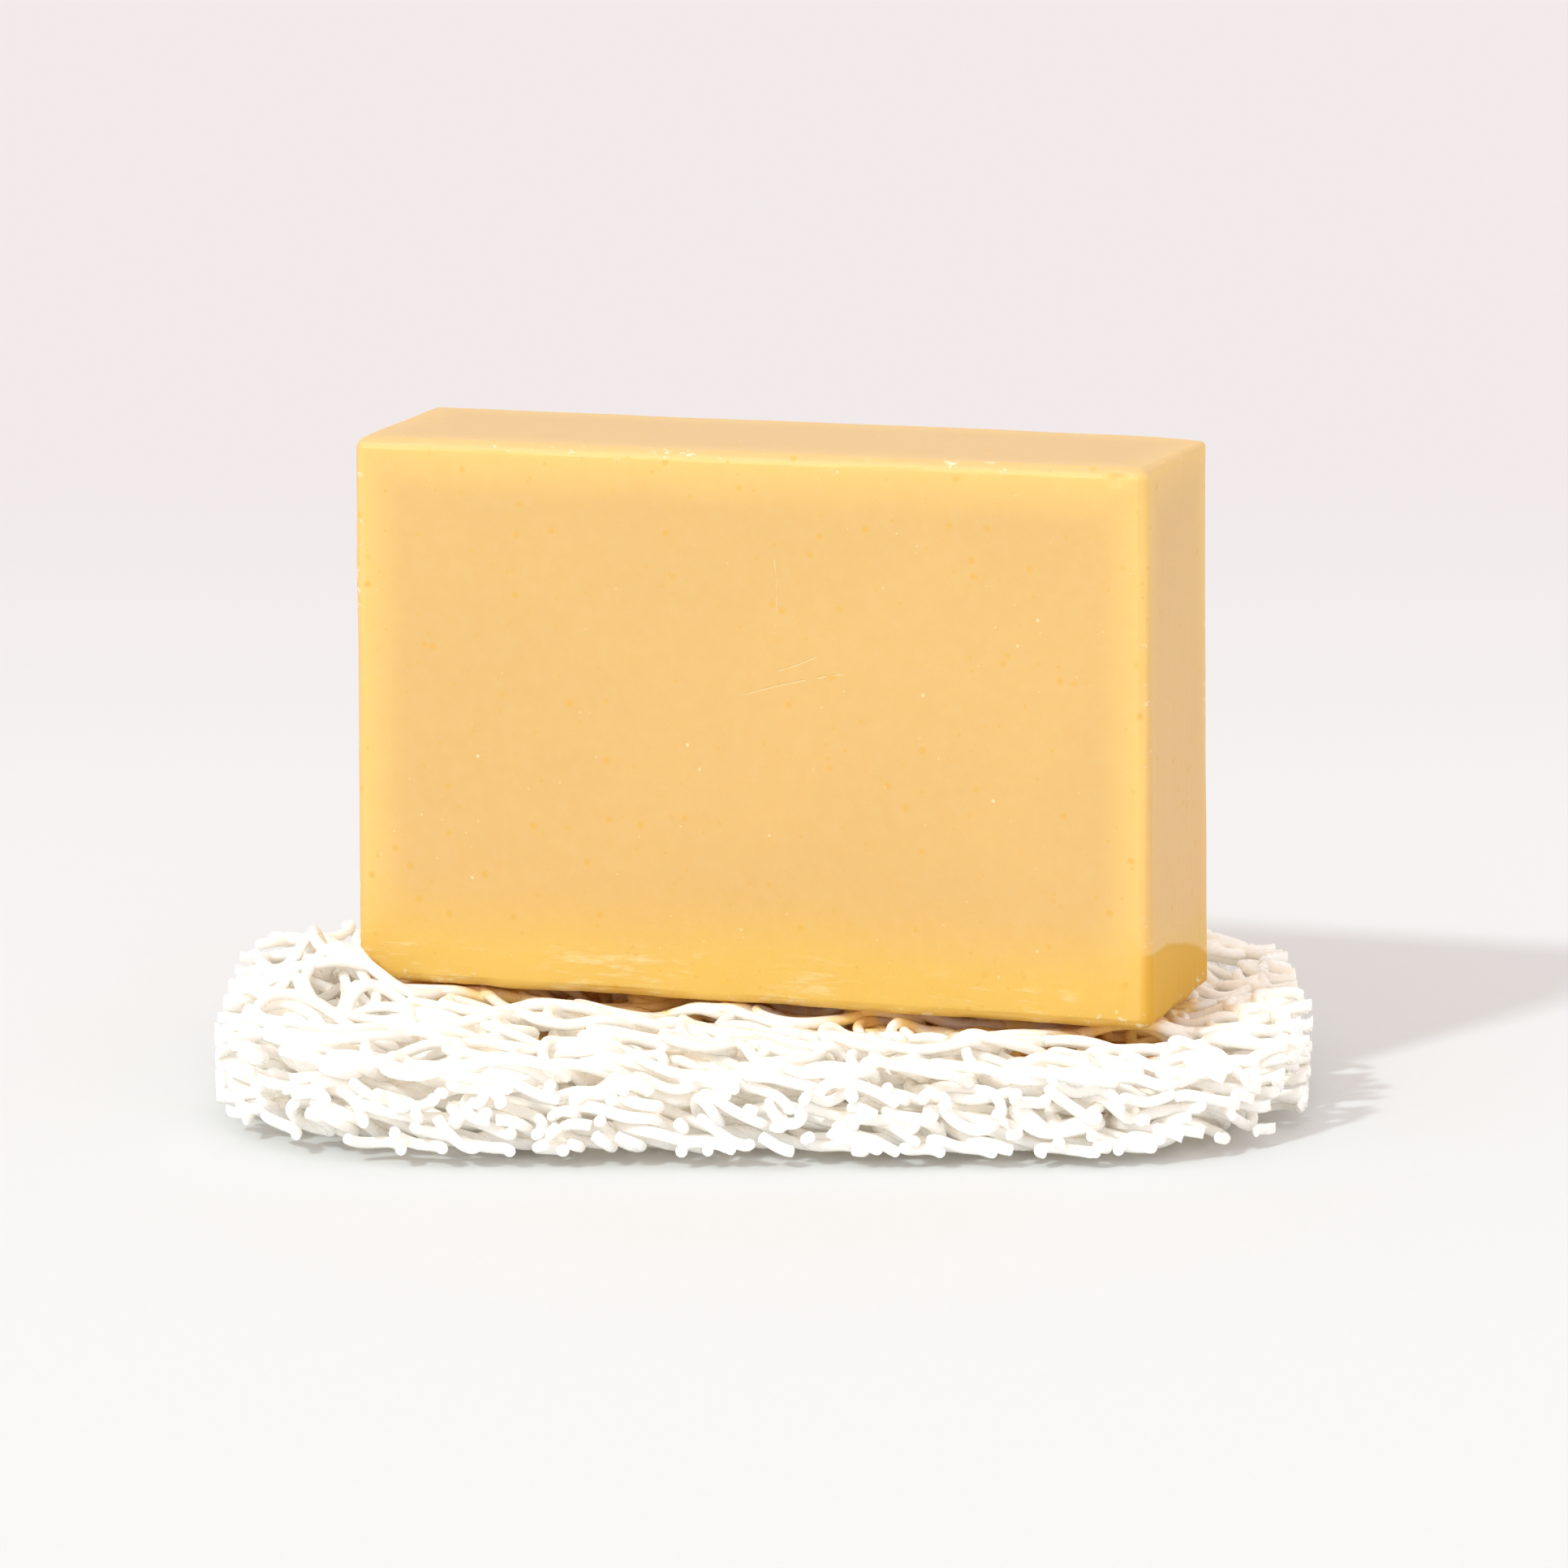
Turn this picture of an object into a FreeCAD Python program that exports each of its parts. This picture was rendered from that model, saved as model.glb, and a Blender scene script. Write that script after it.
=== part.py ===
"""A moulded cleaning bar standing on edge on a draining mat of looped plastic filament.

Millimetres, +Z up. The origin is the centre of the mat's underside, where the mat rests on
a surface. +X runs along the mat's long side, +Y towards its back.

The mat is a stack of layers. Each layer is a set of rows side by side, and each row is one
continuous filament that lies in overlapping loops, as it falls from its nozzle. The rows of
the middle layer lie over the seams of the layer below. The loops are a hair apart in this
model; on the real mat they are welded wherever they cross.
"""
import FreeCAD, Part

import Sketcher
import math
import os

SIZES = {
    # the bar, as it stands: its long narrow face is down
    "bar_length": 92.0,
    "bar_height": 61.3,
    "bar_thickness": 27.0,
    "bar_edge_radius": 1.5,
    "bar_turn": -17.0,        # degrees about Z: the right end is turned to the front
    "bar_shift_right": 2.0,   # of the bar's middle from the mat's middle
    "bar_shift_back": 8.0,
    "bar_gap": 0.15,          # between the bar and the highest loops
    # the mat
    "mat_length": 120.0,
    "mat_depth": 81.0,
    "mat_corner_radius": 27.0,
    "strand_diameter": 1.25,
    "strand_gap": 0.1,        # between filaments that are welded on the real mat
    "loop_tilt": 11.2,        # degrees: each loop leans on the one before it
    "foot_flat": 0.15,        # depth of the flats that the casting belt leaves underneath
    "row_count": 11,          # rows in the bottom and the top layer
}

LAYERS = ("bottom", "middle", "top")
NODE_NAME = "mat_filament_{layer}_{number}"


def make_sheet(doc):
    """The driving dimensions, one aliased cell each."""
    sheet = doc.addObject("Spreadsheet::Sheet", "Sizes")
    for line, (alias, value) in enumerate(SIZES.items(), start=1):
        sheet.set(f"A{line}", alias)
        sheet.set(f"B{line}", str(value))
        sheet.setAlias(f"B{line}", alias)
    doc.recompute()
    return sheet


def add_cell(doc, sheet, alias, value):
    """One more cell, for a size that follows from the others."""
    line = len(SIZES) + 1
    sheet.set(f"A{line}", alias)
    sheet.set(f"B{line}", str(value))
    sheet.setAlias(f"B{line}", alias)
    doc.recompute()


def origin_plane(body, role):
    """One of the body's own origin planes."""
    return next(plane for plane in body.Origin.OriginFeatures if plane.Role == role)


def make_bar(doc):
    """The bar: one solid block with every edge rounded."""
    body = doc.addObject("PartDesign::Body", "cleaning_bar")
    body.Label = "cleaning_bar"

    outline = body.newObject("Sketcher::SketchObject", "BarOutline")
    outline.AttachmentSupport = (origin_plane(body, "XY_Plane"), "")
    outline.MapMode = "FlatFace"
    half_length = SIZES["bar_length"] / 2
    half_thickness = SIZES["bar_thickness"] / 2
    corners = [
        FreeCAD.Vector(-half_length, -half_thickness),
        FreeCAD.Vector(half_length, -half_thickness),
        FreeCAD.Vector(half_length, half_thickness),
        FreeCAD.Vector(-half_length, half_thickness),
    ]
    for index, corner in enumerate(corners):
        outline.addGeometry(Part.LineSegment(corner, corners[(index + 1) % 4]), False)
    for index in range(4):
        outline.addConstraint(Sketcher.Constraint("Coincident", index, 2, (index + 1) % 4, 1))
    for index in (0, 2):
        outline.addConstraint(Sketcher.Constraint("Horizontal", index))
    for index in (1, 3):
        outline.addConstraint(Sketcher.Constraint("Vertical", index))
    outline.addConstraint(Sketcher.Constraint("Symmetric", 0, 1, 2, 1, -1, 1))
    width = outline.addConstraint(Sketcher.Constraint("DistanceX", 0, 1, 0, 2, 2 * half_length))
    outline.setExpression(f"Constraints[{width}]", "Sizes.bar_length")
    depth = outline.addConstraint(Sketcher.Constraint("DistanceY", 1, 1, 1, 2, 2 * half_thickness))
    outline.setExpression(f"Constraints[{depth}]", "Sizes.bar_thickness")

    block = body.newObject("PartDesign::Pad", "BarBlock")
    block.Profile = outline
    block.setExpression("Length", "Sizes.bar_height")
    doc.recompute()

    rounded = body.newObject("PartDesign::Fillet", "BarEdges")
    rounded.Base = (block, [f"Edge{number + 1}" for number in range(len(block.Shape.Edges))])
    rounded.setExpression("Radius", "Sizes.bar_edge_radius")
    body.Tip = rounded

    body.setExpression("Placement.Base.x", "Sizes.bar_shift_right")
    body.setExpression("Placement.Base.y", "Sizes.bar_shift_back")
    body.setExpression("Placement.Base.z", "Sizes.mat_height + Sizes.bar_gap")
    body.Placement.Rotation = FreeCAD.Rotation(FreeCAD.Vector(0, 0, 1), SIZES["bar_turn"])
    doc.recompute()
    return body


def half_chord(sheet, outer_y):
    """Half the mat's length at a distance from its long axis, inside its rounded corners."""
    radius = float(sheet.mat_corner_radius)
    into_corner = max(0.0, outer_y - (float(sheet.mat_depth) / 2 - radius))
    return float(sheet.mat_length) / 2 - radius + math.sqrt(radius ** 2 - into_corner ** 2)


def coil_path(start, pitch, turns, radius, tilt, side):
    """The centre line of one row: straight runs joined by tangent half circles.

    Each turn runs forward, swings across the row in a half circle and back in another. All
    of them lean at the tilt, and every half circle drops half of what one turn must drop to
    pass under the next. side is +1 or -1, the side of the row that the straight runs are on.
    """
    forward = FreeCAD.Vector(math.cos(tilt), 0, math.sin(tilt))
    normal = FreeCAD.Vector(-math.sin(tilt), 0, math.cos(tilt))
    across = FreeCAD.Vector(0, -side * 2 * radius, 0)
    half_drop = normal * (-pitch * math.sin(tilt) / 2)
    run = forward * (pitch * math.cos(tilt))
    edges = []
    here = start
    for _ in range(turns):
        turn_start = here + run
        edges.append(Part.LineSegment(here, turn_start).toShape())
        here = turn_start
        for swing, way in ((across, 1), (across * -1, -1)):
            chord = swing + half_drop
            crest = here + chord * 0.5 + forward * (way * chord.Length / 2)
            edges.append(Part.Arc(here, crest, here + chord).toShape())
            here = here + chord
    return Part.Wire(edges), forward


def make_row(sheet, row_y, side):
    """One filament of the mat, looped along X between the mat's two ends."""
    strand = float(sheet.strand_diameter)
    gap = float(sheet.strand_gap)
    tilt = math.radians(float(sheet.loop_tilt))
    row_pitch = float(sheet.mat_depth) / float(sheet.row_count)
    radius = (row_pitch - strand - gap) / 2
    half = half_chord(sheet, abs(row_y) + row_pitch / 2)
    usable = 2 * half - radius - strand / 2
    turns = math.floor(usable * math.sin(tilt) / (strand + gap))
    start = FreeCAD.Vector(-half, row_y + side * radius, 0)
    path, forward = coil_path(start, usable / turns, turns, radius, tilt, side)
    section = Part.Wire([Part.makeCircle(strand / 2, start, forward)])
    solid = path.makePipeShell([section], True, False)
    expected = path.Length * math.pi * strand ** 2 / 4
    if abs(solid.Volume / expected - 1) > 0.01:
        raise RuntimeError(f"the row at y {row_y:.1f} has {solid.Volume:.0f} mm3, not {expected:.0f}")
    return solid


def row_positions(sheet, layer):
    """The rows' Y positions. The middle layer has one row fewer, over the seams below."""
    row_pitch = float(sheet.mat_depth) / float(sheet.row_count)
    count = int(sheet.row_count) - (layer == "middle")
    return [(index - (count - 1) / 2) * row_pitch for index in range(count)]


def make_space_above_belt(doc):
    """The space above the casting belt, which leaves the lowest loops flat underneath."""
    space = doc.addObject("Part::Box", "SpaceAboveBelt")
    space.setExpression("Length", "Sizes.mat_length * 1.2")
    space.setExpression("Width", "Sizes.mat_depth * 1.2")
    space.setExpression("Height", "Sizes.strand_diameter * 10")
    space.setExpression("Placement.Base.x", "-Sizes.mat_length * 0.6")
    space.setExpression("Placement.Base.y", "-Sizes.mat_depth * 0.6")
    return space


def make_mat(doc, sheet):
    """All the filaments, layer on layer. Returns their objects and the height they reach."""
    above_belt = make_space_above_belt(doc)
    filaments = []
    floor = -float(sheet.foot_flat)
    for layer_index, layer in enumerate(LAYERS):
        side = 1 if layer_index % 2 else -1
        rows = [make_row(sheet, row_y, side) for row_y in row_positions(sheet, layer)]
        extents = [row.optimalBoundingBox(False, False) for row in rows]
        for number, (row, extent) in enumerate(zip(rows, extents), start=1):
            name = NODE_NAME.format(layer=layer, number=number)
            filament = doc.addObject("Part::Feature", name)
            filament.Shape = row
            to_its_place = FreeCAD.Vector(-extent.Center.x, 0, floor - extent.ZMin)
            filament.Placement = FreeCAD.Placement(to_its_place, FreeCAD.Rotation())
            if layer == "bottom":
                filament.Label = name + "_as_laid"
                flattened = doc.addObject("Part::Common", name + "_flattened")
                flattened.Base = filament
                flattened.Tool = above_belt
                filament = flattened
            filament.Label = name
            filaments.append(filament)
        floor += max(extent.ZLength for extent in extents) + float(sheet.strand_gap)
    doc.recompute()
    return filaments, floor - float(sheet.strand_gap)


def check(doc, parts):
    """Stops before anything is written if an object failed or a shape is unsound."""
    for item in doc.Objects:
        if "Invalid" in item.State or "Error" in item.State:
            raise RuntimeError(f"{item.Label} did not recompute: {item.State}")
    for item in parts:
        shape = item.Shape
        if shape.isNull() or not shape.isValid():
            raise RuntimeError(f"{item.Label} has no valid shape")


def main():
    os.makedirs("parts", exist_ok=True)
    doc = FreeCAD.newDocument("BarOnMat")
    sheet = make_sheet(doc)
    filaments, mat_height = make_mat(doc, sheet)
    add_cell(doc, sheet, "mat_height", mat_height)
    parts = filaments + [make_bar(doc)]
    check(doc, parts)
    for item in parts:
        item.Shape.exportStep(f"parts/{item.Label}.step")
        print(f"{item.Label:26s} {len(item.Shape.Solids)} solid {item.Shape.Volume:9.1f} mm3")
    print(f"{len(parts)} nodes, mat height {mat_height:.2f} mm")


main()
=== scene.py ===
"""The looks of the cleaning bar on its draining mat: metres, in the CAD model's frame."""
import math

import bmesh
import bpy
import numpy as np
from mathutils import Matrix, Vector, noise


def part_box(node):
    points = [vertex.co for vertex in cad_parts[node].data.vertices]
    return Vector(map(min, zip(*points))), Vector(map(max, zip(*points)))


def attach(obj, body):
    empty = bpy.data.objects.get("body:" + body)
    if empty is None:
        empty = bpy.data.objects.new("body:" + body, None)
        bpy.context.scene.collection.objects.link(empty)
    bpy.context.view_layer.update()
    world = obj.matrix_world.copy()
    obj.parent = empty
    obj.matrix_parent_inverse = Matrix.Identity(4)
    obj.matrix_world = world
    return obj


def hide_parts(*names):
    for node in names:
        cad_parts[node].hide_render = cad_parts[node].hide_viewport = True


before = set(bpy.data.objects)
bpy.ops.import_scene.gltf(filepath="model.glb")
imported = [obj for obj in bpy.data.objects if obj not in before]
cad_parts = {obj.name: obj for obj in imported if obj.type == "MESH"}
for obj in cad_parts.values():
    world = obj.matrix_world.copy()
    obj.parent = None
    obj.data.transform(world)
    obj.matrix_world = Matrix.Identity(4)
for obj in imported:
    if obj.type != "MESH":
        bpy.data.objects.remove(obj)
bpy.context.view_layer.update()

MM = 0.001

BAR = "cleaning_bar"
BAR_TURN = math.radians(-17)        # how the bar is turned on the mat
BAR_EDGE = 1.4 * MM         # the radius of its edges at the front
BAR_BACK_EDGE = 0.5 * MM    # and at the back, where it was cut and never handled
BAR_SUNK = 0.4 * MM         # how far its foot has settled between the loops
BAR_LEAN_LEFT = 0.25 * MM   # how far its two ends lean inwards at the top
BAR_LEAN_RIGHT = 0.95 * MM
BAR_DROOP = 0.45 * MM       # how far its right-hand back corner has worn down
STRAND_RADIUS = 0.63 * MM
MAT_CORNER = 27 * MM


# ---------------------------------------------------------------- what the frame gives

def box_of(nodes):
    """Lowest and highest corner of several CAD nodes together."""
    corners = [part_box(node) for node in nodes]
    low = np.min([low for low, _ in corners], axis=0)
    high = np.max([high for _, high in corners], axis=0)
    return low, high


def filaments_of(layer):
    """The CAD filaments of one layer of the mat, from front to back."""
    names = [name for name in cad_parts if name.startswith(f"mat_filament_{layer}_")]
    return sorted(names, key=lambda name: int(name.rsplit("_", 1)[1]))


LAYERS = [filaments_of(layer) for layer in ("bottom", "middle", "top")]
MAT_LOW, MAT_HIGH = box_of([name for layer in LAYERS for name in layer])
BAR_LOW, BAR_HIGH = box_of([BAR])
BAR_CENTRE = Vector((BAR_LOW + BAR_HIGH) / 2)
BAR_PLACE = Matrix.Translation(BAR_CENTRE) @ Matrix.Rotation(BAR_TURN, 4, "Z")


def bar_half_size():
    """Half the bar's length, thickness and height, along its own sides."""
    to_own_sides = BAR_PLACE.inverted()
    corners = np.array([to_own_sides @ vert.co for vert in bpy.data.objects[BAR].data.vertices])
    return (corners.max(axis=0) - corners.min(axis=0)) / 2


BAR_HALF = bar_half_size()


# ---------------------------------------------------------------- the bar's shape

GRID_STEP = 0.55 * MM       # between the points of the bar's surface
EDGE_STEPS = 8              # from the flat of a side to the middle of its rounded edge


def axis_stops(half, radius, step):
    """Stops along one side of a block: even on its flat, and closer round its edges."""
    flat = half - radius
    count = max(2, round(2 * flat / step))
    middle = np.linspace(-flat, flat, count + 1)
    bends = flat + radius * np.tan(np.linspace(0, math.pi / 4, EDGE_STEPS + 1)[1:])
    return np.concatenate([-bends[::-1], middle, bends])


def block_faces(halves, radius, step):
    """The grid of quads over a block's six sides, before its edges are rounded."""
    verts, faces = [], []
    stops = [axis_stops(half, radius, step) for half in halves]
    for across, up, out in ((0, 1, 2), (1, 2, 0), (2, 0, 1)):
        for sign in (-1, 1):
            first = len(verts)
            rows, columns = len(stops[up]), len(stops[across])
            for b in stops[up]:
                for a in stops[across]:
                    point = [0.0, 0.0, 0.0]
                    point[across], point[up], point[out] = a, b, sign * halves[out]
                    verts.append(point)
            for row in range(rows - 1):
                for column in range(columns - 1):
                    corner = first + row * columns + column
                    quad = (corner, corner + 1, corner + columns + 1, corner + columns)
                    faces.append(quad if sign > 0 else quad[::-1])
    return np.array(verts), faces


WORN_FOOT = 7 * MM          # how far up the bar its foot is worn
SLOW_WAVES = 28             # in the bar's surface, for each metre
MEDIUM_WAVES = 110
FINE_WAVES = 420


def bar_relief(point, normal):
    """How far the bar's surface stands in or out of a perfect block, in metres.

    Slow, medium and fine waves are added up, and are deeper on the edges and at the foot.
    """
    slow = noise.noise(point * SLOW_WAVES + Vector((3.1, 0, 0)))
    medium = noise.noise(point * MEDIUM_WAVES + Vector((0, 7.7, 0)))
    fine = noise.noise(point * FINE_WAVES + Vector((0, 0, 1.3)))
    edges = sum(abs(part) > 0.25 for part in normal) > 1
    worn = max(0.0, 1 - (point.z + BAR_HALF[2]) / WORN_FOOT)
    relief = 0.16 * slow + 0.05 * medium + 0.012 * fine
    relief += edges * (0.10 * medium + 0.05 * fine - 0.05)
    relief += worn * (0.16 * medium + 0.07 * fine - 0.06)
    return relief * MM


# Bubbles that broke the surface when the bar was cast: place along X and Z from the bar's
# middle as a share of its half length and height, and the radius.
PITS = ((0.925, 0.965, 0.75 * MM), (0.62, 0.80, 0.3 * MM), (-0.52, -0.16, 0.26 * MM),
        (0.30, 0.05, 0.28 * MM), (0.78, -0.34, 0.3 * MM), (-0.20, -0.62, 0.24 * MM))


def pit_depth(point):
    """The depth of the cast bubbles at a point of the bar's front face."""
    if point.y > -BAR_HALF[1] + 2 * BAR_EDGE:
        return 0.0
    depth = 0.0
    for share_x, share_z, radius in PITS:
        away = math.hypot(point.x - share_x * BAR_HALF[0], point.z - share_z * BAR_HALF[2])
        depth += 0.6 * radius * math.exp(-(away / radius) ** 4)
    return depth


def make_bar():
    """The bar as one closed mesh, rounded at the edges and slightly uneven."""
    halves = BAR_HALF
    verts, faces = block_faces(halves, BAR_EDGE, GRID_STEP)
    backward = (verts[:, 1:2] + halves[1]) / (2 * halves[1])
    radius = BAR_EDGE + (BAR_BACK_EDGE - BAR_EDGE) * backward
    inner = np.clip(verts, -(halves - radius), halves - radius)
    normals = verts - inner
    normals /= np.linalg.norm(normals, axis=1)[:, None]
    verts = inner + radius * normals
    for index, (vert, normal) in enumerate(zip(verts, normals)):
        point, way = Vector(vert), Vector(normal)
        verts[index] = point + way * (bar_relief(point, way) - pit_depth(point))
    rise = (verts[:, 2] + halves[2]) / (2 * halves[2])
    rightward = np.maximum(verts[:, 0], 0) / halves[0]
    leftward = np.maximum(-verts[:, 0], 0) / halves[0]
    verts[:, 2] -= BAR_SUNK * (1 - rise)
    verts[:, 2] -= BAR_DROOP * rise * backward[:, 0] * rightward ** 8
    verts[:, 0] += rise * (BAR_LEAN_LEFT * leftward - BAR_LEAN_RIGHT * rightward)
    mesh = bpy.data.meshes.new("bar_surface")
    mesh.from_pydata(verts.tolist(), [], faces)
    welded = bmesh.new()
    welded.from_mesh(mesh)
    bmesh.ops.remove_doubles(welded, verts=welded.verts, dist=0.001 * MM)
    welded.to_mesh(mesh)
    welded.free()
    mesh.shade_smooth()
    bar = bpy.data.objects.new("bar_cast_block", mesh)
    bar.matrix_world = BAR_PLACE
    bpy.context.scene.collection.objects.link(bar)
    return bar


# ---------------------------------------------------------------- the mat's filaments

STRAND_STEP = 0.6 * MM
LOOP_RADIUS = 3.7 * MM
LOOP_PITCH = 3.9 * MM       # how far along the mat each loop moves on
OVERRUN = 6 * MM            # how far past the mat's two ends each filament is laid
CELL = 0.3 * MM             # of the height map that the filaments are laid on
MARGIN = 15 * MM            # of the height map round the mat
BLOCK = 14                  # cells of the map over which the mat's top is evened out
CREST = 88                  # the share of a block's cells that lies below its crest, in percent
SLOPE = 0.75                # the steepest that a filament follows what it lies on
SINK = 0.2 * MM             # how far it melts into the filament below
ROW_SPREAD = 1.13           # the outer rows are laid over the line that the mat is cut along
LOOK_AHEAD = 4              # points of a filament that bend before they reach a crossing


def wander(rng, count, reach, size):
    """A smooth random curve of `count` points that changes over about `reach` of them."""
    knots = rng.normal(0, 1, count // reach + 4)
    places = np.arange(count) / reach + 1
    low = places.astype(int)
    share = places - low
    share = share * share * (3 - 2 * share)
    return size * (knots[low] * (1 - share) + knots[low + 1] * share)


def looped_line(rng, row_y, half_length):
    """One filament seen from above: a wandering line of overlapping loops along X.

    The loops vary in size, are a little longer along the mat than across it, and drift.
    """
    turns = int(2 * (half_length + OVERRUN) / LOOP_PITCH)
    count = int(turns * math.tau * LOOP_RADIUS / STRAND_STEP)
    radius = LOOP_RADIUS * (1 + np.clip(wander(rng, count, 24, 0.34), -0.5, 0.75))
    spin = rng.choice((-1, 1))
    angle = rng.uniform(0, math.tau) + spin * np.cumsum(STRAND_STEP / radius)
    stretch = 1.15 + np.clip(wander(rng, count, 50, 0.16), -0.3, 0.3)
    forward = LOOP_PITCH / (math.tau * LOOP_RADIUS) * STRAND_STEP
    x = -half_length - OVERRUN + forward * np.arange(count) + wander(rng, count, 40, 2.0 * MM)
    y = row_y + wander(rng, count, 45, 1.9 * MM)
    return np.stack([x + radius * stretch * np.cos(angle), y + radius * np.sin(angle) / stretch], 1)


class Pile:
    """A height map of the filaments laid so far, which the next one comes to rest on."""

    def __init__(self, low, high):
        self.low = np.array(low[:2]) - MARGIN
        size = np.ceil((np.array(high[:2]) + MARGIN - self.low) / CELL).astype(int)
        self.height = np.zeros(size)
        reach = int(STRAND_RADIUS / CELL) + 1
        self.brush = []
        for i in range(-reach, reach + 1):
            for j in range(-reach, reach + 1):
                inside = STRAND_RADIUS ** 2 - (i * i + j * j) * CELL ** 2
                if inside > 0:
                    self.brush.append((i, j, math.sqrt(inside)))

    def cells(self, line):
        """The cells under a line's points."""
        found = ((line - self.low) / CELL).astype(int)
        return np.clip(found, 4, np.array(self.height.shape) - 5).T

    def rest(self, line):
        """The height at which a strand's centre line touches what is below it."""
        column, row = self.cells(line)
        heights = [self.height[column + i, row + j] + dome for i, j, dome in self.brush]
        return np.max(heights, axis=0)

    def add(self, line, centre_height):
        """Adds a strand that lies at a height."""
        column, row = self.cells(line)
        for i, j, dome in self.brush:
            np.maximum.at(self.height, (column + i, row + j), centre_height + dome)

    def crest(self, line):
        """The height of the pile's top round a line's points, evened out over blocks."""
        columns, rows = np.array(self.height.shape) // BLOCK
        blocks = self.height[:columns * BLOCK, :rows * BLOCK].reshape(columns, BLOCK, rows, BLOCK)
        tops = np.percentile(blocks, CREST, axis=(1, 3))
        padded = np.pad(tops, 1, mode="edge")
        tops = sum(padded[i:i + columns, j:j + rows] for i in range(3) for j in range(3)) / 9
        place = (line - self.low) / CELL / BLOCK - 0.5
        place = np.clip(place, 0, np.array(tops.shape) - 1.001)
        column, row = place.astype(int).T
        right, up = (place - place.astype(int)).T
        lower = tops[column, row] * (1 - right) + tops[column + 1, row] * right
        upper = tops[column, row + 1] * (1 - right) + tops[column + 1, row + 1] * right
        return lower * (1 - up) + upper * up


def smoothed(values, reach):
    """A running average, weighted to the middle."""
    weights = np.hanning(2 * reach + 3)[1:-1]
    padded = np.pad(values, reach, mode="edge")
    return np.convolve(padded, weights / weights.sum(), mode="valid")


def lay(pile, line):
    """Heights of a filament that is laid a third of a loop at a time and bridges small gaps."""
    chunk = int(math.tau * LOOP_RADIUS / STRAND_STEP / 3)
    fall = SLOPE * STRAND_STEP
    heights = np.zeros(len(line))
    last = STRAND_RADIUS
    for first in range(0, len(line), chunk):
        part = line[first:first + chunk + LOOK_AHEAD]
        ramp = fall * np.arange(len(part))
        level = np.maximum(pile.rest(part) - SINK, STRAND_RADIUS)
        level[0] = max(level[0], last - fall)
        level = np.maximum.accumulate(level + ramp) - ramp
        level = (np.maximum.accumulate((level + ramp[::-1])[::-1]) - ramp)[::-1]
        level = level[:chunk]
        pile.add(part[:chunk], level)
        heights[first:first + chunk] = level
        last = level[-1]
    return smoothed(heights, 4)


def outline_distance(points):
    """How far points are outside the mat's rounded outline, and the way out."""
    half = (MAT_HIGH[:2] - MAT_LOW[:2]) / 2
    past = np.abs(points) - (half - MAT_CORNER)
    outside = np.maximum(past, 0)
    length = np.linalg.norm(outside, axis=1)
    distance = length + np.minimum(past.max(axis=1), 0) - MAT_CORNER
    way = outside / np.maximum(length, 1e-9)[:, None] * np.sign(points)
    return distance, way


def hump(points, centre, reach):
    """1 at a place on the mat, falling softly to 0 away from it."""
    away = np.linalg.norm(points - np.array(centre), axis=1) / reach
    return np.exp(-away ** 2)


RIM_WIDTH = 8 * MM          # of the mat's cut edge, which curls up and is pressed thinner
RIM_CURL = 1.3 * MM
RIM_THINNER = 0.8 * MM
CORNER_CURLS = (            # the corners that curl up more: how high, and how far in
    ((MAT_LOW[0], MAT_HIGH[1]), 3.0 * MM, 30 * MM),
    ((MAT_HIGH[0], MAT_HIGH[1]), 1.6 * MM, 30 * MM),
    ((MAT_LOW[0], MAT_LOW[1]), 0.5 * MM, 24 * MM),
)


def rim(points):
    """1 along the mat's cut edge, falling softly to 0 inside it."""
    inside = np.maximum(-outline_distance(points)[0], 0)
    return np.exp(-(inside / RIM_WIDTH) ** 2)


def warp(points):
    """How far the mat's edge and corners curl up from the surface that it lies on."""
    curl = RIM_CURL * rim(points)
    for corner, height, reach in CORNER_CURLS:
        curl = curl + height * hump(points, corner, reach)
    return curl


HEAP_PLACE = BAR_PLACE @ Vector((-BAR_HALF[0] - 3 * MM, -BAR_HALF[1] - 1.5 * MM, 0))
HEAP_REACH = 6 * MM
HEAP_HEIGHT = 7 * MM


def corner_heap(points):
    """1 where strands curl up round the foot of the bar's left end."""
    return hump(points, HEAP_PLACE[:2], HEAP_REACH)


HOLLOW_SIZE = 9 * MM        # of the hollows between the highest loops under the bar
HOLLOW_DEPTH = 1.9 * MM
BAR_SIDE_SLOPE = 0.22       # how steeply strands may rise beside the bar, up to its limit
BAR_SIDE_RISE = 2.5 * MM
HEAP_SLOPE = 6              # how much more steeply and higher they may where they heap up
HEAP_RISE = 5 * MM


def bar_ceiling(points):
    """The height that strands may reach: pressed under the bar, and free away from it.

    The bar stands on the highest loops only, with hollows between them.
    """
    turned = Matrix.Rotation(-BAR_TURN, 2)
    own = (points - np.array(BAR_CENTRE[:2])) @ np.array(turned).T
    past = np.maximum(np.abs(own) - BAR_HALF[:2], 0)
    away = np.maximum(np.linalg.norm(past, axis=1) - STRAND_RADIUS, 0)
    waves = np.array([noise.noise(Vector((x, y, 0)) / HOLLOW_SIZE) for x, y in points])
    hollow = np.clip(0.6 + 1.6 * waves, 0, 1)
    pressed = BAR_LOW[2] - BAR_SUNK - STRAND_RADIUS - HOLLOW_DEPTH * hollow
    heap = corner_heap(points)
    slope = BAR_SIDE_SLOPE + HEAP_SLOPE * heap
    return pressed + np.minimum(slope * away, BAR_SIDE_RISE + HEAP_RISE * heap)


def inside_spans(distance):
    """Runs of points inside the outline, each with one point past it at both ends."""
    inside = np.concatenate([[False], distance < 0, [False]])
    starts = np.flatnonzero(~inside[:-1] & inside[1:])
    ends = np.flatnonzero(inside[:-1] & ~inside[1:])
    for start, end in zip(starts, ends):
        if end - start > 3:
            yield slice(max(start - 1, 0), min(end + 1, len(distance)))


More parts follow.
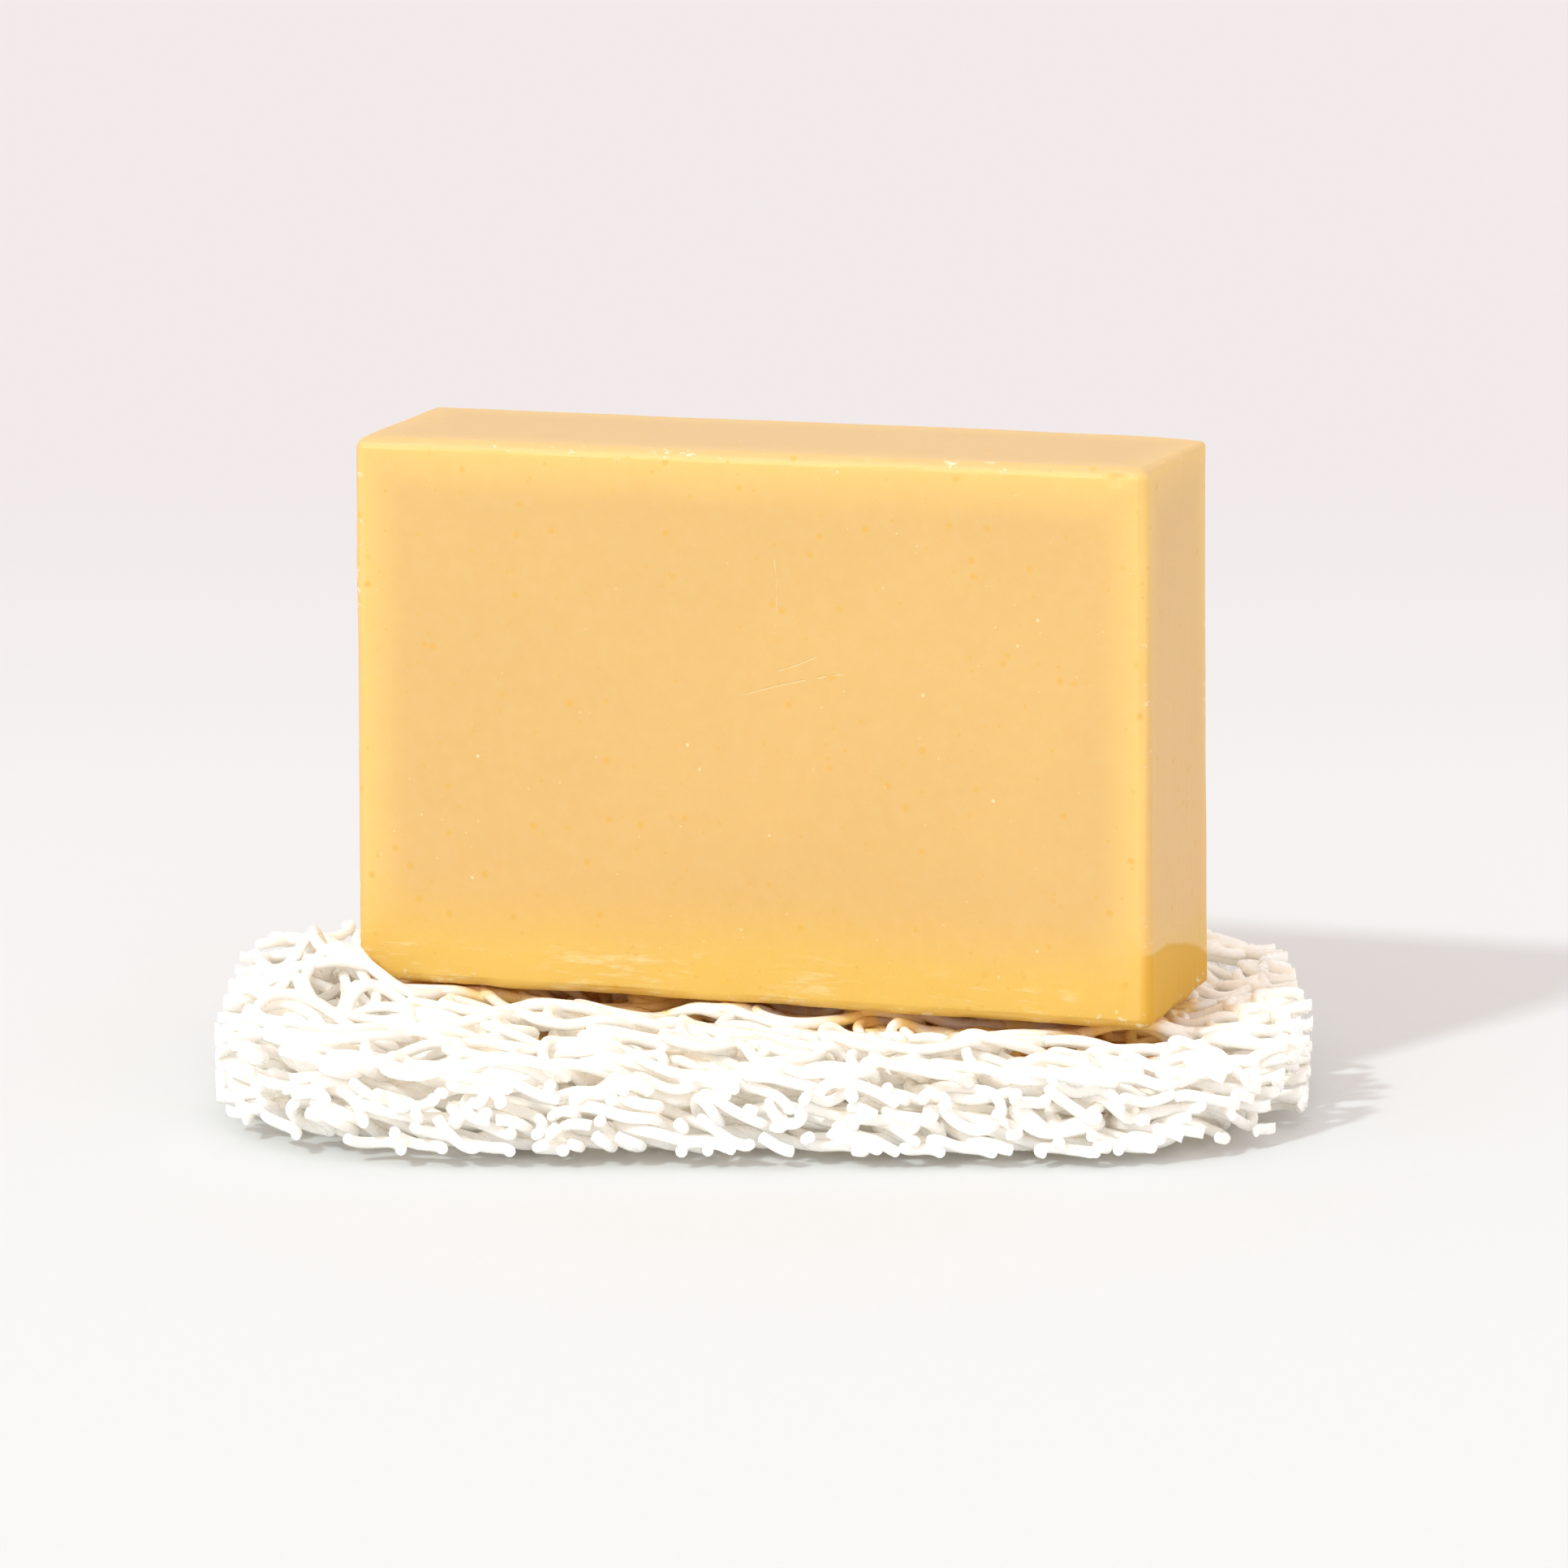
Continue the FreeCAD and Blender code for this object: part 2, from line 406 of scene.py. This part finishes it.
SIDES = 10                  # of a strand's cross-section
TRIM = 0.93                 # the share that is cut off of what stands outside the outline


def tube(centre_line, radius):
    """Rings of points round a centre line."""
    along = np.gradient(centre_line, axis=0)
    along /= np.linalg.norm(along, axis=1)[:, None]
    side = np.cross([0, 0, 1], along)
    side /= np.linalg.norm(side, axis=1)[:, None]
    up = np.cross(along, side)
    angles = np.arange(SIDES) * math.tau / SIDES
    spokes = np.cos(angles)[None, :, None] * side[:, None] + np.sin(angles)[None, :, None] * up[:, None]
    return centre_line[:, None] + radius[:, None, None] * spokes


def die_cut(rings):
    """Trims whatever stands outside the outline almost flush with the mat's side.

    A trace of what was outside is kept, so that no two faces of a cut end lie in one plane.
    """
    flat = rings.reshape(-1, 3)
    distance, way = outline_distance(flat[:, :2])
    flat[:, :2] -= TRIM * np.maximum(distance, 0)[:, None] * way
    flat[:, 2] = np.maximum(flat[:, 2], 0.02 * MM)
    return flat.reshape(rings.shape)


def strand_mesh(name, spans):
    """One mesh of closed tubes with flat cut ends."""
    verts, faces, sharp = [], [], set()
    for rings in spans:
        first, count = len(verts), len(rings)
        verts.extend(rings.reshape(-1, 3).tolist())
        for ring in range(count - 1):
            here, there = first + ring * SIDES, first + (ring + 1) * SIDES
            for side in range(SIDES):
                after = (side + 1) % SIDES
                faces.append((here + side, here + after, there + after, there + side))
        for base in (first, first + (count - 1) * SIDES):
            end_ring = [base + side for side in range(SIDES)]
            faces.append(end_ring[::-1] if base == first else end_ring)
            sharp.update(tuple(sorted((end_ring[i], end_ring[i - 1]))) for i in range(SIDES))
    mesh = bpy.data.meshes.new(name)
    mesh.from_pydata(verts, [], faces)
    mesh.shade_smooth()
    for edge in mesh.edges:
        if tuple(sorted(edge.vertices)) in sharp:
            edge.use_edge_sharp = True
    piece = bpy.data.objects.new(name, mesh)
    bpy.context.scene.collection.objects.link(piece)
    return piece


SETTLED = (0.7, 1.4)        # the most that the pile is pressed down or fluffed up


def make_mat():
    """Every filament of the mat, laid layer on layer and then die-cut."""
    rng = np.random.default_rng(7)
    pile = Pile(MAT_LOW, MAT_HIGH)
    laid = []
    for layer in LAYERS:
        for node in layer:
            low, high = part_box(node)
            row_y = ROW_SPREAD * (low[1] + high[1]) / 2
            line = looped_line(rng, row_y, MAT_HIGH[0])
            laid.append((node, line, lay(pile, line)))
    pieces = []
    for node, line, heights in laid:
        ceiling = bar_ceiling(line)
        top = np.minimum(MAT_HIGH[2] - STRAND_RADIUS - RIM_THINNER * rim(line), ceiling)
        settle = (top - STRAND_RADIUS) / (pile.crest(line) - 2 * STRAND_RADIUS)
        heights = STRAND_RADIUS + np.clip(settle, *SETTLED) * (heights - STRAND_RADIUS)
        share = heights / MAT_HIGH[2]
        heights = heights + warp(line) + HEAP_HEIGHT * share * corner_heap(line)
        heights = smoothed(np.minimum(heights, ceiling), 2)
        thickness = STRAND_RADIUS * (1 + np.clip(wander(rng, len(line), 18, 0.04), -0.1, 0.1))
        centre_line = np.column_stack([line, heights])
        rings = die_cut(tube(centre_line, thickness))
        spans = [rings[span] for span in inside_spans(outline_distance(line)[0])]
        pieces.append((strand_mesh(node.replace("mat_", "laid_"), spans), node))
    return pieces


# ---------------------------------------------------------------- materials

class Graph:
    """A material's nodes. A value is a number, a tuple or another node's output."""

    def __init__(self, name):
        self.material = bpy.data.materials.new(name)
        self.material.use_nodes = True
        self.tree = self.material.node_tree
        self.shader = self.tree.nodes["Principled BSDF"]

    def node(self, kind, settings=(), **values):
        made = self.tree.nodes.new(kind)
        for key, value in dict(settings).items():
            setattr(made, key, value)
        for key, value in values.items():
            self.feed(made.inputs[key.replace("_", " ")], value)
        return made

    def feed(self, socket, value):
        if isinstance(value, bpy.types.NodeSocket):
            self.tree.links.new(value, socket)
        else:
            socket.default_value = value

    def math(self, operation, *values):
        made = self.node("ShaderNodeMath", {"operation": operation})
        for socket, value in zip(made.inputs, values):
            self.feed(socket, value)
        return made.outputs[0]

    def plus(self, first, second):
        return self.math("ADD", first, second)

    def minus(self, first, second):
        return self.math("SUBTRACT", first, second)

    def times(self, *values):
        """The product of two or more values."""
        product = values[0]
        for value in values[1:]:
            product = self.math("MULTIPLY", product, value)
        return product

    def most(self, first, second):
        return self.math("MAXIMUM", first, second)

    def least(self, first, second):
        return self.math("MINIMUM", first, second)

    def size_of(self, value):
        return self.math("ABSOLUTE", value)

    def smooth(self, value, low, high):
        """0 where the value is at low, 1 where it is at high, with soft ends."""
        made = self.node("ShaderNodeMapRange", {"interpolation_type": "SMOOTHSTEP"},
                         Value=value, From_Min=low, From_Max=high)
        return made.outputs["Result"]

    def mix(self, share, first, second):
        made = self.node("ShaderNodeMix", {"data_type": "RGBA"})
        self.feed(made.inputs["Factor"], share)
        self.feed(made.inputs[6], first)
        self.feed(made.inputs[7], second)
        return made.outputs[2]

    def place(self, size=(1.0, 1.0, 1.0)):
        """The object's own coordinates in millimetres, each divided by a size."""
        source = self.node("ShaderNodeTexCoord").outputs["Object"]
        scale = tuple(1 / (part * MM) for part in size)
        return self.node("ShaderNodeMapping", Vector=source, Scale=scale).outputs[0]

    def noise(self, size, detail=2.0, roughness=0.5):
        """Noise whose blobs are about `size` millimetres across, one size or one for each axis."""
        size = size if isinstance(size, tuple) else (size, size, size)
        made = self.node("ShaderNodeTexNoise", Vector=self.place(size), Scale=1.0,
                         Detail=detail, Roughness=roughness)
        return made.outputs["Fac"]

    def dots(self, spacing, radius, soft):
        """1 inside scattered dots, which are cut from small balls through the solid."""
        made = self.node("ShaderNodeTexVoronoi", Vector=self.place((spacing,) * 3), Scale=1.0)
        return self.smooth(made.outputs["Distance"], (radius + soft) / spacing, radius / spacing)

    def bump(self, *layers):
        """Bumps added up: pairs of a height from 0 to 1 and its depth in millimetres."""
        normal = None
        for height, depth in layers:
            made = self.node("ShaderNodeBump", Height=height, Distance=depth * MM)
            if normal:
                self.feed(made.inputs["Normal"], normal)
            normal = made.outputs[0]
        self.feed(self.shader.inputs["Normal"], normal)


FACE_COLOUR = (0.712, 0.45, 0.155, 1)
# painted glow of light through the bar's edges
EDGE_GLOW_COLOUR = (0.83, 0.55, 0.17, 1)
# painted sheen and shade on the bar's top and on its two ends
ROOF_SHEEN_AND_SHADE = (0.70, 0.458, 0.21, 1)
END_SHEEN_AND_SHADE = (0.79, 0.485, 0.178, 1)
# brighter and more saturated towards the bar's foot
FOOT_COLOUR = (0.79, 0.51, 0.105, 1)
WAX_COLOUR = (0.88, 0.74, 0.42, 1)
CHIP_COLOUR = (0.88, 0.80, 0.60, 1)
SPECK_COLOUR = (0.74, 0.41, 0.05, 1)
CREAM_STRAND = (0.98, 0.955, 0.905, 1)
WHITE_STRAND = (0.985, 0.972, 0.94, 1)
# residue from the bar, and painted amber light passing through the bar onto the strands
RESIDUE_AND_BAR_LIGHT_COLOUR = (1.0, 0.735, 0.21, 1)
# painted reflection of the mat's shade at the foot of the bar's right-hand end
REFLECTED_SHADE_COLOUR = (0.70, 0.37, 0.027, 1)

# Hairline scratches in the front face, each a piece of a circle: the circle's centre along
# X and Z from the bar's middle, its radius, and the ends of the piece along X and Z.
SCRATCHES = (
    ((-30.0, 15.0), 33.5, (1.5, 5.0), (11.0, 19.5)),
    ((25.0, -72.0), 80.0, (-7.0, 11.0), (4.0, 12.0)),
    ((-2.0, 27.0), 21.0, (3.5, 8.0), (5.0, 9.0)),
)


class BarGraph(Graph):
    """The bar's nodes, with where a point is on the bar, in millimetres or from 0 to 1."""

    def __init__(self, name):
        super().__init__(name)
        self.x, self.y, self.z = self.node("ShaderNodeSeparateXYZ", Vector=self.place()).outputs
        self.half = [float(part) / MM for part in BAR_HALF]
        half_length, half_thickness, half_height = self.half
        self.height = self.plus(self.z, half_height)
        self.edge = self.edge_distance()
        self.front = self.smooth(self.y, -half_thickness + 4.0, -half_thickness + 2.0)
        self.end = self.smooth(self.size_of(self.x), half_length - 1.2, half_length - 0.4)
        self.roof = self.smooth(self.z, half_height - 1.2, half_height - 0.4)

    def edge_distance(self):
        """How far the nearest edge is: the middle one of the distances to the three sides."""
        sides = zip(self.half, (self.x, self.y, self.z))
        inward = [self.minus(half, self.size_of(value)) for half, value in sides]
        lower = self.least(inward[0], inward[1])
        upper = self.most(inward[0], inward[1])
        return self.most(lower, self.least(upper, inward[2]))


def hairlines(graph):
    """1 along each hairline scratch in the front face."""
    total = 0.0
    breaks = graph.smooth(graph.noise(1.4), 0.42, 0.55)
    for (centre_x, centre_z), radius, across, up in SCRATCHES:
        square_x = graph.math("POWER", graph.minus(graph.x, centre_x), 2.0)
        square_z = graph.math("POWER", graph.minus(graph.z, centre_z), 2.0)
        away = graph.math("SQRT", graph.plus(square_x, square_z))
        mark = graph.smooth(graph.size_of(graph.minus(away, radius)), 0.12, 0.02)
        for value, (low, high) in ((graph.x, across), (graph.z, up)):
            begun = graph.smooth(value, low - 0.5, low + 0.5)
            not_over = graph.smooth(value, high + 0.5, high - 0.5)
            mark = graph.times(mark, begun, not_over)
        total = graph.plus(total, mark)
    return graph.times(total, breaks, graph.front)


def drawn_streaks(graph):
    """Faint streaks that the cutting blade drew along the top and down the ends."""
    length, width = 16.0, 1.1
    along = graph.smooth(graph.noise((length, width, width), 3.0), 0.3, 0.75)
    down = graph.smooth(graph.noise((width, width, length), 3.0), 0.3, 0.75)
    return graph.most(graph.times(along, graph.roof), graph.times(down, graph.end))


def compound_colour(graph, cloud, mottle, drawn):
    """The compound's colour, with a painted glow through its edges, painted sheen and shade on its top
    and ends, and brighter and more saturated towards its foot.
    """
    richer = tuple(part * 1.035 for part in FACE_COLOUR[:3]) + (1,)
    colour = graph.mix(graph.smooth(cloud, 0.3, 0.7), FACE_COLOUR, richer)

    # painted glow: light through the edges is painted as a lighter colour, but little on those of the
    # two ends
    ragged = graph.plus(graph.edge, graph.times(graph.noise(9.0), 2.0))
    not_back = graph.smooth(graph.y, graph.half[1] - 1.0, graph.half[1] - 4.0)
    off_ends = graph.minus(1.0, graph.times(graph.end, graph.times(not_back, 0.85)))
    glow = graph.times(graph.smooth(ragged, 8.0, 1.6), off_ends)
    colour = graph.mix(glow, colour, EDGE_GLOW_COLOUR)

    # painted sheen and shade: the top and the two ends are tinted for the grazing light and the
    # backdrop they reflect, more along the blade's streaks
    sheen_and_shade_share = graph.plus(0.5, graph.times(drawn, 0.2))
    colour = graph.mix(graph.times(graph.roof, sheen_and_shade_share), colour, ROOF_SHEEN_AND_SHADE)
    colour = graph.mix(graph.times(graph.end, sheen_and_shade_share), colour, END_SHEEN_AND_SHADE)
    # brighter and more saturated towards the foot
    towards_foot = graph.smooth(graph.plus(graph.height, graph.times(cloud, 7.0)), 17.0, 5.0)
    colour = graph.mix(towards_foot, colour, FOOT_COLOUR)
    haze = graph.times(graph.smooth(mottle, 0.35, 0.75), 0.06)
    return graph.mix(haze, colour, WAX_COLOUR)


def reflected_shade_patch(graph):
    """1 on the arched patch of painted reflection at the foot of the right-hand end: darker and more
    saturated where the face reflects the mat's shade instead of the pale backdrop.
    """
    half_length, half_thickness, _ = graph.half
    depth = graph.math("DIVIDE", graph.plus(graph.y, half_thickness), 2 * half_thickness)
    arch = graph.times(graph.math("POWER", depth, 2.0), 5.2)
    patch = graph.plus(graph.plus(graph.height, arch), graph.noise(7.0, 1.0))
    on_end = graph.smooth(graph.x, half_length - 1.6, half_length - 0.3)
    return graph.times(graph.smooth(patch, 8.9, 8.2), on_end)


def wax_smear(graph):
    """Wax smeared in patches along the foot, and not round the ends."""
    smear = graph.smooth(graph.noise((5.0, 5.0, 0.9), 5.0, 0.7), 0.48, 0.72)
    patches = graph.smooth(graph.noise((12.0, 12.0, 8.0), 1.0), 0.42, 0.6)
    low_down = graph.smooth(graph.height, 7.0, 2.5)
    return graph.times(smear, graph.times(patches, low_down), graph.minus(1.0, graph.end))


def edge_chips(graph):
    """Small chips along those stretches of the edges that were knocked."""
    chips = graph.smooth(graph.noise((1.5, 1.5, 1.0), 3.0, 0.7), 0.57, 0.66)
    knocked = graph.smooth(graph.noise(15.0, 1.0), 0.46, 0.58)
    return graph.times(chips, graph.times(knocked, graph.smooth(graph.edge, 1.8, 0.5)))


def bar_material():
    """Cast soap-like compound: slightly translucent, and marked by cutting and use."""
    graph = BarGraph("bar_compound")
    cloud = graph.noise(24.0, 3.0)
    mottle = graph.noise(1.9, 4.0, 0.65)
    drawn = drawn_streaks(graph)
    reflected_shade = reflected_shade_patch(graph)
    smear = wax_smear(graph)
    chips = edge_chips(graph)
    scratches = hairlines(graph)
    orange_specks = graph.most(graph.dots(3.7, 0.18, 0.40), graph.dots(2.1, 0.02, 0.30))
    white_specks = graph.most(graph.times(graph.dots(4.6, 0.10, 0.18), 0.7),
                              graph.times(graph.dots(2.3, 0.03, 0.13), 0.5))

    colour = compound_colour(graph, cloud, mottle, drawn)
    # painted reflection of the mat's shade at the foot of the right-hand end
    colour = graph.mix(graph.times(reflected_shade, 0.8), colour, REFLECTED_SHADE_COLOUR)
    colour = graph.mix(graph.times(orange_specks, 0.6), colour, SPECK_COLOUR)
    pale = graph.most(graph.times(smear, 0.7), white_specks)
    pale = graph.most(pale, graph.times(scratches, 0.45))
    colour = graph.mix(pale, colour, WAX_COLOUR)
    colour = graph.mix(graph.times(chips, 0.75), colour, CHIP_COLOUR)
    graph.feed(graph.shader.inputs["Base Color"], colour)

    roughness = graph.plus(0.42, graph.times(mottle, 0.12))
    roughness = graph.plus(roughness, graph.times(pale, 0.2))
    roughness = graph.plus(roughness, graph.times(reflected_shade, 0.3))
    graph.feed(graph.shader.inputs["Roughness"], roughness)
    graph.shader.inputs["IOR"].default_value = 1.46
    graph.shader.inputs["Subsurface Weight"].default_value = 0.35
    graph.shader.inputs["Subsurface Radius"].default_value = (1.0, 0.55, 0.22)
    graph.shader.inputs["Subsurface Scale"].default_value = 3 * MM
    grain = graph.noise(0.35, 2.0)
    unscratched = graph.minus(1.0, scratches)
    graph.bump((mottle, 0.03), (grain, 0.02), (drawn, 0.03), (unscratched, 0.05), (smear, 0.03),
               (chips, 0.05))
    return graph.material


def bar_residue_and_light(graph):
    """Under the bar, in patches: residue that the bar leaves on the strands, and painted amber light
    that passes through the bar onto them.
    """
    source = graph.node("ShaderNodeTexCoord").outputs["Object"]
    turned = graph.node("ShaderNodeMapping", {"vector_type": "TEXTURE"}, Vector=source,
                        Location=tuple(BAR_CENTRE), Rotation=(0, 0, BAR_TURN))
    x, y, _ = graph.node("ShaderNodeSeparateXYZ", Vector=turned.outputs[0]).outputs
    residue_and_light = 1.0
    for value, half in ((x, BAR_HALF[0]), (y, BAR_HALF[1])):
        inside = graph.smooth(graph.size_of(value), half + 0.2 * MM, half - 1.5 * MM)
        residue_and_light = graph.times(residue_and_light, inside)
    patchy = graph.smooth(graph.noise(6.0, 3.0), 0.28, 0.56)
    return graph.times(residue_and_light, graph.times(patchy, 0.85))


def filament_material():
    """Glossy flexible white plastic, a little translucent."""
    graph = Graph("mat_filament")
    tone = graph.smooth(graph.noise(11.0), 0.3, 0.7)
    colour = graph.mix(tone, CREAM_STRAND, WHITE_STRAND)
    # residue and painted amber light from the bar on the strands under it
    colour = graph.mix(bar_residue_and_light(graph), colour, RESIDUE_AND_BAR_LIGHT_COLOUR)
    graph.feed(graph.shader.inputs["Base Color"], colour)
    streaks = graph.noise((0.9, 0.9, 0.5), 3.0)
    graph.feed(graph.shader.inputs["Roughness"], graph.plus(0.2, graph.times(streaks, 0.16)))
    graph.shader.inputs["IOR"].default_value = 1.5
    graph.shader.subsurface_method = "BURLEY"
    graph.shader.inputs["Subsurface Weight"].default_value = 0.5
    graph.shader.inputs["Subsurface Radius"].default_value = (1.0, 0.97, 0.9)
    graph.shader.inputs["Subsurface Scale"].default_value = 1.0 * MM
    graph.bump((streaks, 0.04))
    return graph.material


# ---------------------------------------------------------------- the studio

PAPER_FRONT = (0.748, 0.758, 0.76, 1)
# painted shade: the paper's colour far back, where less light reaches
PAPER_BACK_IN_PAINTED_SHADE = (0.696, 0.660, 0.666, 1)
PAPER_SIZE = 8              # metres from the middle to its sides


def make_floor():
    """A seamless sheet of pale paper, with painted shade that makes it a little pinker and duller
    towards the back.
    """
    mesh = bpy.data.meshes.new("studio_floor")
    corners = [(x * PAPER_SIZE, y * PAPER_SIZE, 0) for x, y in ((-1, -1), (1, -1), (1, 1), (-1, 1))]
    mesh.from_pydata(corners, [], [(0, 1, 2, 3)])
    floor = bpy.data.objects.new("studio_floor", mesh)
    bpy.context.scene.collection.objects.link(floor)
    graph = Graph("studio_paper")
    y = graph.node("ShaderNodeSeparateXYZ", Vector=graph.place()).outputs[1]
    back = graph.smooth(y, -80.0, 520.0)
    # painted shade, growing towards the back
    graph.feed(graph.shader.inputs["Base Color"], graph.mix(back, PAPER_FRONT, PAPER_BACK_IN_PAINTED_SHADE))
    graph.shader.inputs["Roughness"].default_value = 0.9
    graph.shader.inputs["Specular IOR Level"].default_value = 0.2
    graph.bump((graph.noise(0.8, 3.0), 0.02))
    floor.data.materials.append(graph.material)


AIR_COLOUR = (1.0, 0.94, 0.925, 1)
AIR_STRENGTH = 1.03
MORE_IN_FRONT = 0.18                # how much brighter than that it is in front, and duller behind
KEY_COLOUR = (0.87, 1.0, 1.02)
KEY_STRENGTH = 1.36
KEY_HEADING = math.radians(48)      # the way the key light travels, from +X towards +Y
KEY_HEIGHT = math.radians(40)
KEY_SOFTNESS = math.radians(5)


def make_lights():
    """Even light from all round, and a soft key from the front left.

    White strands pass light on many times before it is lost, so it may bounce that often.
    """
    bpy.context.scene.cycles.max_bounces = 24
    bpy.context.scene.cycles.diffuse_bounces = 16
    world = bpy.data.worlds.new("studio")
    bpy.context.scene.world = world
    world.use_nodes = True
    nodes, links = world.node_tree.nodes, world.node_tree.links
    background = nodes["Background"]
    background.inputs["Color"].default_value = AIR_COLOUR
    way = nodes.new("ShaderNodeSeparateXYZ")
    links.new(nodes.new("ShaderNodeTexCoord").outputs["Generated"], way.inputs[0])
    strength = nodes.new("ShaderNodeMath")
    strength.operation = "MULTIPLY_ADD"
    links.new(way.outputs["Y"], strength.inputs[0])
    strength.inputs[1].default_value = -MORE_IN_FRONT
    strength.inputs[2].default_value = AIR_STRENGTH
    links.new(strength.outputs[0], background.inputs["Strength"])

    key = bpy.data.objects.new("key", bpy.data.lights.new("key", "SUN"))
    key.data.energy = KEY_STRENGTH
    key.data.angle = KEY_SOFTNESS
    key.data.color = KEY_COLOUR
    level = math.cos(KEY_HEIGHT)
    travels = Vector((math.cos(KEY_HEADING) * level, math.sin(KEY_HEADING) * level,
                      -math.sin(KEY_HEIGHT)))
    key.rotation_euler = travels.to_track_quat("-Z", "Y").to_euler()
    bpy.context.scene.collection.objects.link(key)


CAMERA_LENS = 149                   # on a sensor 36 mm wide
CAMERA_DISTANCE = 727 * MM
CAMERA_PITCH = math.radians(10.67)  # how far it looks down
CAMERA_AIM = BAR_CENTRE + Vector((0.22, 0, -8.5)) * MM


def make_camera():
    """A long lens a little above the table, straight in front."""
    camera = bpy.data.objects.new("camera", bpy.data.cameras.new("camera"))
    camera.data.lens = CAMERA_LENS
    camera.data.sensor_width = 36
    camera.data.clip_end = 30
    backward = Vector((0, -math.cos(CAMERA_PITCH), math.sin(CAMERA_PITCH)))
    camera.location = CAMERA_AIM + CAMERA_DISTANCE * backward
    camera.rotation_euler = (math.pi / 2 - CAMERA_PITCH, 0, 0)
    bpy.context.scene.collection.objects.link(camera)
    bpy.context.scene.camera = camera


# ---------------------------------------------------------------- the whole object

bar = make_bar()
bar.data.materials.append(bar_material())
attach(bar, "bar")
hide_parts(BAR)

plastic = filament_material()
for piece, node in make_mat():
    piece.data.materials.append(plastic)
    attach(piece, "mat")
    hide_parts(node)

make_floor()
make_lights()
make_camera()
bpy.context.scene.view_settings.view_transform = "Standard"
